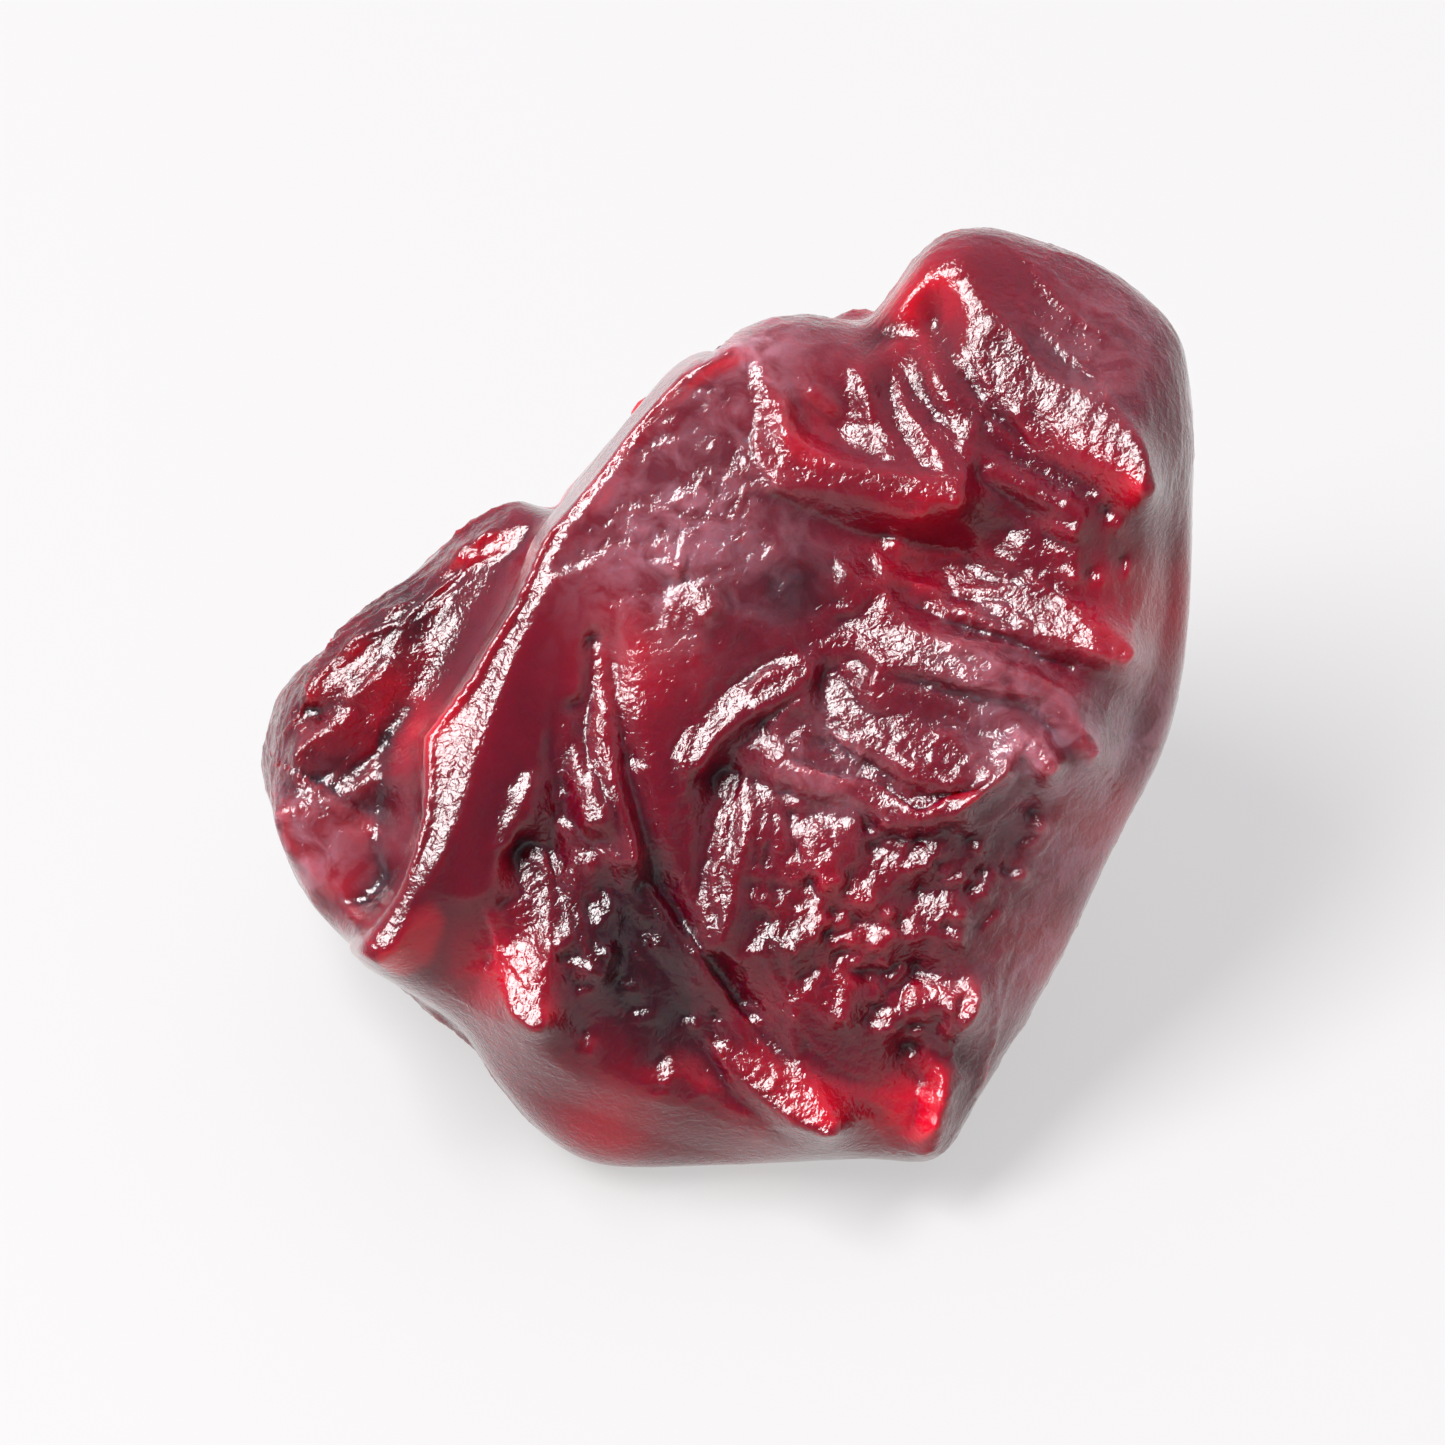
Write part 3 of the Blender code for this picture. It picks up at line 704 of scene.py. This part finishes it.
def crinkleTree():  # thin raised lines, as high as the mesh's own "crinkle" value lets them be
    tree = bpy.data.node_groups.new("fineCrinkle", "GeometryNodeTree")
    tree.is_modifier = True
    face = tree.interface
    face.new_socket("Geometry", in_out="INPUT", socket_type="NodeSocketGeometry")
    for name in crinkle:
        face.new_socket(name, in_out="INPUT", socket_type="NodeSocketFloat")
    face.new_socket("Material", in_out="INPUT", socket_type="NodeSocketMaterial")
    face.new_socket("Geometry", in_out="OUTPUT", socket_type="NodeSocketGeometry")
    given = tree.nodes.new("NodeGroupInput").outputs
    place = addNode(tree, "GeometryNodeInputPosition").outputs["Position"]
    normal = addNode(tree, "GeometryNodeInputNormal").outputs["Normal"]
    share = addNode(tree, "GeometryNodeInputNamedAttribute",
                    {"data_type": "FLOAT", "Name": "crinkle"})
    scale = addNode(tree, "ShaderNodeMath", {"operation": "DIVIDE", 0: 1}, {1: given["Width"]})
    waves = addNode(tree, "ShaderNodeTexNoise", {"noise_dimensions": "4D", "normalize": False,
                    "Detail": 1, "Distortion": 0.4},
                    {"Vector": place, "W": given["Seed"], "Scale": scale.outputs["Value"]})
    away = addNode(tree, "ShaderNodeMath", {"operation": "ABSOLUTE"}, {0: waves.outputs["Fac"]})
    line = addNode(tree, "ShaderNodeMapRange", {"interpolation_type": "SMOOTHSTEP", "To Min": 1,
                   "To Max": 0}, {"Value": away.outputs["Value"], "From Max": given["Sharpness"]})
    high = addNode(tree, "ShaderNodeMath", {"operation": "MULTIPLY"},
                   {0: line.outputs["Result"], 1: given["Height"]})
    shown = addNode(tree, "ShaderNodeMath", {"operation": "MULTIPLY"},
                    {0: high.outputs["Value"], 1: share.outputs["Attribute"]})
    offset = addNode(tree, "ShaderNodeVectorMath", {"operation": "SCALE"},
                     {0: normal, "Scale": shown.outputs["Value"]})
    raised = addNode(tree, "GeometryNodeSetPosition", {},
                     {"Geometry": given["Geometry"], "Offset": offset.outputs["Vector"]})
    real = addNode(tree, "GeometryNodeRealizeInstances", {},
                   {"Geometry": raised.outputs["Geometry"]})
    skin = addNode(tree, "GeometryNodeSetMaterial", {},
                   {"Geometry": real.outputs["Geometry"], "Material": given["Material"]})
    out = tree.nodes.new("NodeGroupOutput")
    tree.links.new(skin.outputs["Geometry"], out.inputs["Geometry"])
    return tree


def crinkled(berry, material):  # the berry's mesh with its finest crinkle
    modifier = berry.modifiers.new("fineCrinkle", "NODES")
    modifier.node_group = crinkleTree()
    values = {**crinkle, "Material": material}
    for item in modifier.node_group.interface.items_tree:
        if item.name in values:
            modifier[item.identifier] = values[item.name]
    graph = bpy.context.evaluated_depsgraph_get()
    mesh = bpy.data.meshes.new_from_object(
        berry.evaluated_get(graph), preserve_all_data_layers=True, depsgraph=graph)
    berry.modifiers.remove(modifier)
    print("berry: finest crinkle raised on", len(mesh.vertices), "points")
    return mesh


def colour(code):  # sRGB hex to linear
    parts = [int(code[i:i + 2], 16) / 255 for i in (0, 2, 4)]
    return [c / 12.92 if c <= 0.04045 else ((c + 0.055) / 1.055) ** 2.4 for c in parts] + [1]


# Skin of a sweetened, dried cranberry: translucent ruby flesh under a moist, slightly oiled skin.
# Its colour carries a painted glow where it is thin, painted shade nearly black in the creases and a
# painted pinkish sheen in places; it shines in broken patches.
skinLook = {
    "flesh": "5e0217",
    "paintedGlowRed": "b00520",
    "darkFleshAndPaintedShade": "2c010b",
    "paintedSheen": "a87482",
    # places of painted shade and of painted glow, seen face-on: place, reach, amount
    "paintedShadePlaces": [
        ((-1.4, -3.3), 0.8, 1.2), ((-1.0, -4.2), 0.8, 0.9), ((-0.9, -5.0), 0.7, 0.5),
        ((0.9, -3.5), 0.7, 0.5), ((1.0, 1.9), 0.55, 0.9), ((-4.9, 1.2), 1.0, 0.7),
        ((-6.4, -1.2), 1.5, 0.5)],
    "paintedGlowPlaces": [
        ((-4.8, -0.2), 0.7, 1.0), ((2.6, -6.2), 0.6, 0.8), ((-3.4, -4.0), 0.7, 0.6),
        ((-1.7, -6.5), 0.7, 0.7), ((-1.3, 0.9), 0.9, 0.5), ((1.2, 4.2), 0.7, 0.5),
        ((2.9, 6.2), 0.8, 0.7), ((3.0, 2.6), 0.9, 0.5), ((1.6, -3.4), 1.0, 0.4),
        ((6.7, 1.5), 1.2, 0.65), ((6.0, -1.8), 1.0, 0.65), ((5.0, -3.9), 0.9, 0.6),
        ((0.4, -7.0), 0.8, 0.4)],
    # painted pinkish sheen, a painted reflection: place, reach, amount
    "paintedSheenPlaces": [
        ((-1.0, 3.2), 1.2, 0.25), ((-1.3, 1.8), 1.1, 0.2), ((0.3, 2.6), 1.2, 0.15),
        ((4.6, -0.4), 0.8, 0.4), ((1.6, -0.9), 0.8, 0.25), ((3.9, 0.9), 0.8, 0.2),
        ((6.4, -0.4), 1.0, 0.35), ((5.7, -2.2), 1.0, 0.35), ((5.0, -4.2), 1.0, 0.35),
        ((-6.6, -2.2), 1.0, 0.4), ((0.3, 5.4), 1.0, 0.4), ((5.9, 5.6), 1.1, 0.15)],
    "creaseDark": 12,  # how fast painted shade darkens a crease, and the darkest
    "darkestCrease": 0.8,
    "thinAt": 1.5,  # flesh this thin, in millimetres, gets the full painted glow, and this thick it doesn't
    "thickAt": 5.5,
    "paintedGlowStrength": 0.8,
    "mottle": 1.7 * mm,  # size of the dark and glossy clouds in the flesh
    "mottleDark": 0.35,
    "paintedSheenMottle": 0.5 * mm,  # size of the clouds in the painted sheen
    "pitWidth": 0.11 * mm,
    "pitDepth": 0.032 * mm,
    "pitsOnSmoothSkin": 0.4,  # share of their depth where the skin isn't crinkled
    "grainWidth": 0.07 * mm,
    "grainDepth": 0.02 * mm,
    "grainStrength": 0.25,
}


def cranberrySkin():
    look = skinLook
    material = bpy.data.materials.new("cranberrySkin")
    material.use_nodes = True
    tree = material.node_tree
    tree.nodes.clear()
    place = addNode(tree, "ShaderNodeTexCoord").outputs["Object"]
    # thin: painted glow, brighter red where light would shine through thin flesh
    thin = addNode(tree, "ShaderNodeAttribute", {"attribute_name": "thin"}).outputs["Fac"]
    # crease: painted shade, darker in creases and in the listed shaded places
    crease = addNode(tree, "ShaderNodeAttribute", {"attribute_name": "crease"}).outputs["Fac"]
    mottle = addNode(tree, "ShaderNodeTexNoise", {"Scale": 1 / look["mottle"], "Detail": 4,
                     "Roughness": 0.6}, {"Vector": place}).outputs["Fac"]
    mottleRange = addNode(tree, "ShaderNodeMapRange", {"From Min": 0.4, "From Max": 0.65},
                          {"Value": mottle}).outputs["Result"]
    glow = addNode(tree, "ShaderNodeMix", {"data_type": "RGBA", "A": colour(look["flesh"]),
                   "B": colour(look["paintedGlowRed"])}, {"Factor": thin})
    # darker in random clouds of the flesh, and with the painted shade
    dark = addNode(tree, "ShaderNodeMath", {"operation": "MULTIPLY_ADD", 1: look["mottleDark"]},
                   {0: mottleRange, 2: crease})
    dark.use_clamp = True
    flesh = addNode(tree, "ShaderNodeMix", {"data_type": "RGBA", "B": colour(look["darkFleshAndPaintedShade"])},
                    {"Factor": dark.outputs[0], "A": glow.outputs["Result"]})
    # this value is a painted pinkish sheen, a painted reflection, clouded and laid over the flesh
    dull = addNode(tree, "ShaderNodeAttribute", {"attribute_name": "paintedSheen"}).outputs["Fac"]
    cloud = addNode(tree, "ShaderNodeTexNoise", {"Scale": 1 / look["paintedSheenMottle"], "Detail": 3,
                    "Distortion": 0.8}, {"Vector": place}).outputs["Fac"]
    clouded = addNode(tree, "ShaderNodeMapRange", {"From Min": 0.4, "From Max": 0.62, "To Min": 0.3,
                      "To Max": 1.5}, {"Value": cloud}).outputs["Result"]
    paintedSheen = addNode(tree, "ShaderNodeMath", {"operation": "MULTIPLY"}, {0: dull, 1: clouded})
    paintedSheen.use_clamp = True
    skinColour = addNode(tree, "ShaderNodeMix", {"data_type": "RGBA", "B": colour(look["paintedSheen"])},
                         {"Factor": paintedSheen.outputs["Value"], "A": flesh.outputs["Result"]})
    gathered = addNode(tree, "ShaderNodeAttribute", {"attribute_name": "crinkle"}).outputs["Fac"]
    pitDepth = addNode(tree, "ShaderNodeMapRange",
                       {"To Min": look["pitsOnSmoothSkin"], "To Max": 1}, {"Value": gathered})
    pits = addNode(tree, "ShaderNodeTexNoise", {"Scale": 1 / look["pitWidth"], "Detail": 2,
                   "Roughness": 0.5, "Distortion": 0.6}, {"Vector": place})
    grain = addNode(tree, "ShaderNodeTexNoise", {"Scale": 1 / look["grainWidth"], "Detail": 2},
                    {"Vector": place})
    pitBump = addNode(tree, "ShaderNodeBump", {"Distance": look["pitDepth"]},
                      {"Height": pits.outputs["Fac"], "Strength": pitDepth.outputs["Result"]})
    grainBump = addNode(
        tree, "ShaderNodeBump", {"Strength": look["grainStrength"], "Distance": look["grainDepth"]},
        {"Height": grain.outputs["Fac"], "Normal": pitBump.outputs["Normal"]})
    gloss = addNode(tree, "ShaderNodeMapRange", {"To Min": 0.14, "To Max": 0.3},
                    {"Value": mottle})
    skin = addNode(tree, "ShaderNodeBsdfPrincipled", {
        "Subsurface Weight": 1.0, "Subsurface Radius": (1.0, 0.09, 0.07),
        "Subsurface Scale": 1.7 * mm, "IOR": 1.45, "Specular IOR Level": 0.2,
        "Coat Weight": 0.85, "Coat Roughness": 0.07, "Coat IOR": 1.42},
        {"Base Color": skinColour.outputs["Result"], "Roughness": gloss.outputs["Result"],
         "Normal": grainBump.outputs["Normal"], "Coat Normal": grainBump.outputs["Normal"]})
    out = addNode(tree, "ShaderNodeOutputMaterial", {}, {"Surface": skin.outputs["BSDF"]})
    out.target = "ALL"
    return material


def makeBerry():
    mesh, direction = berryMesh()
    points, strength = berryPoints(mesh, direction)
    setPoints(mesh, points)
    storeValue(mesh, "crinkle", strength)
    berry = bpy.data.objects.new("dried_cranberry_skin", mesh)
    bpy.context.scene.collection.objects.link(berry)
    berry.data = mesh = crinkled(berry, cranberrySkin())
    mesh.vertices.foreach_get("co", points.reshape(-1))
    points[:, 2] = np.maximum(points[:, 2], 0)
    points = fitToBox(points)
    setPoints(mesh, points)
    crease = creaseOf(mesh, points)
    depth = thicknessOf(mesh, points)
    print("berry: thickness in mm", depth.min(), np.median(depth), depth.max())
    look = skinLook
    # painted shade: darker in creases and in the listed places
    creaseShade = np.clip(crease * look["creaseDark"], 0, look["darkestCrease"])
    # painted glow: brighter red where the flesh is thin, and in the listed places
    thin = look["paintedGlowStrength"] * (1 - smooth(look["thinAt"], look["thickAt"], depth))
    # these values carry painted shade, painted glow and a painted pinkish sheen
    shades = [("crease", creaseShade, "paintedShadePlaces"), ("thin", thin, "paintedGlowPlaces"), ("paintedSheen", 0, "paintedSheenPlaces")]
    for name, everywhere, places in shades:
        storeValue(mesh, name, np.clip(everywhere + nearPlaces(points, look[places]), 0, 1))
    mesh.shade_smooth()
    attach(berry, "root")
    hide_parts("dried_cranberry")
    print("berry: done,", len(mesh.vertices), "points")


# A pale table, plain soft studio light and a long lens that looks straight at the berry's face
studio = {
    "tableSize": 6.0,
    "table": "6a6969",
    "tableGlow": 0.55,
    "tableGlowTint": (1, 0.99, 0.985, 1),
    "skyColour": "f4f2ff",
    "skyAbove": 0.85,
    "skyBehindCamera": 0.3,
    "cameraSide": (0, -0.71, 0.71),  # the way to the camera, and how near to it the sky is dimmed
    "dimFrom": 0.55,
    "dimTo": 0.95,
    "keyFrom": (-0.48, -0.12, 0.87),  # a long softbox overhead, on the left
    "keyAlong": (0.55, 0.69, 0.47),
    "keyDistance": 0.5,
    "keyLength": 0.38,
    "keyWidth": 0.19,
    "keyPower": 5.9,
    "lens": 200,
    "elevation": math.radians(45),
    "frameWidth": 22.5 * mm,
    "lookAt": (0, -0.1 * mm, 5.1 * mm),
}


def makeTable():
    mesh = bpy.data.meshes.new("table")
    half = studio["tableSize"] / 2
    corners = [(-half, -half, 0), (half, -half, 0), (half, half, 0), (-half, half, 0)]
    mesh.from_pydata(corners, [], [(0, 1, 2, 3)])
    table = bpy.data.objects.new("table", mesh)
    bpy.context.scene.collection.objects.link(table)
    material = bpy.data.materials.new("tableTop")  # a matt white light table, so shadows stay pale
    material.use_nodes = True
    shader = material.node_tree.nodes["Principled BSDF"]
    shader.inputs["Base Color"].default_value = colour(studio["table"])
    shader.inputs["Roughness"].default_value = 0.6
    shader.inputs["Emission Color"].default_value = studio["tableGlowTint"]
    shader.inputs["Emission Strength"].default_value = studio["tableGlow"]
    mesh.materials.append(material)


def aim(thing, location, target):
    thing.location = location
    thing.rotation_euler = (Vector(target) - Vector(location)).to_track_quat("-Z", "Y").to_euler()


def makeLight():
    light = bpy.data.lights.new("softbox", "AREA")
    light.shape = "RECTANGLE"
    light.size = studio["keyLength"]
    light.size_y = studio["keyWidth"]
    light.energy = studio["keyPower"]
    lamp = bpy.data.objects.new("softbox", light)
    bpy.context.scene.collection.objects.link(lamp)
    lamp.visible_camera = False
    toLamp = Vector(studio["keyFrom"]).normalized()
    across = toLamp.cross(studio["keyAlong"]).normalized()
    turned = Matrix((across.cross(toLamp), across, toLamp)).transposed().to_4x4()
    lamp.matrix_world = Matrix.Translation(toLamp * studio["keyDistance"]) @ turned
    world = bpy.data.worlds.new("studio")
    bpy.context.scene.world = world
    world.use_nodes = True
    tree = world.node_tree
    tree.nodes.clear()
    toward = addNode(tree, "ShaderNodeTexCoord").outputs["Generated"]
    behind = addNode(tree, "ShaderNodeVectorMath",
                     {"operation": "DOT_PRODUCT", 1: studio["cameraSide"]}, {0: toward})
    dim = addNode(tree, "ShaderNodeMapRange", {
        "From Min": studio["dimFrom"], "From Max": studio["dimTo"],
        "To Min": studio["skyAbove"], "To Max": studio["skyBehindCamera"]},
        {"Value": behind.outputs["Value"]})
    sky = addNode(tree, "ShaderNodeBackground", {"Color": colour(studio["skyColour"])},
                  {"Strength": dim.outputs["Result"]})
    addNode(tree, "ShaderNodeOutputWorld", {}, {"Surface": sky.outputs["Background"]})


def makeCamera():
    camera = bpy.data.cameras.new("camera")
    camera.lens = studio["lens"]
    camera.clip_start = 0.005
    eye = bpy.data.objects.new("camera", camera)
    bpy.context.scene.collection.objects.link(eye)
    away = Vector((0, -math.cos(studio["elevation"]), math.sin(studio["elevation"])))
    distance = studio["frameWidth"] * studio["lens"] / camera.sensor_width
    aim(eye, Vector(studio["lookAt"]) + away * distance, studio["lookAt"])
    bpy.context.scene.camera = eye


bpy.context.scene.view_settings.view_transform = "Standard"
makeCamera()
makeTable()
makeLight()
makeBerry()
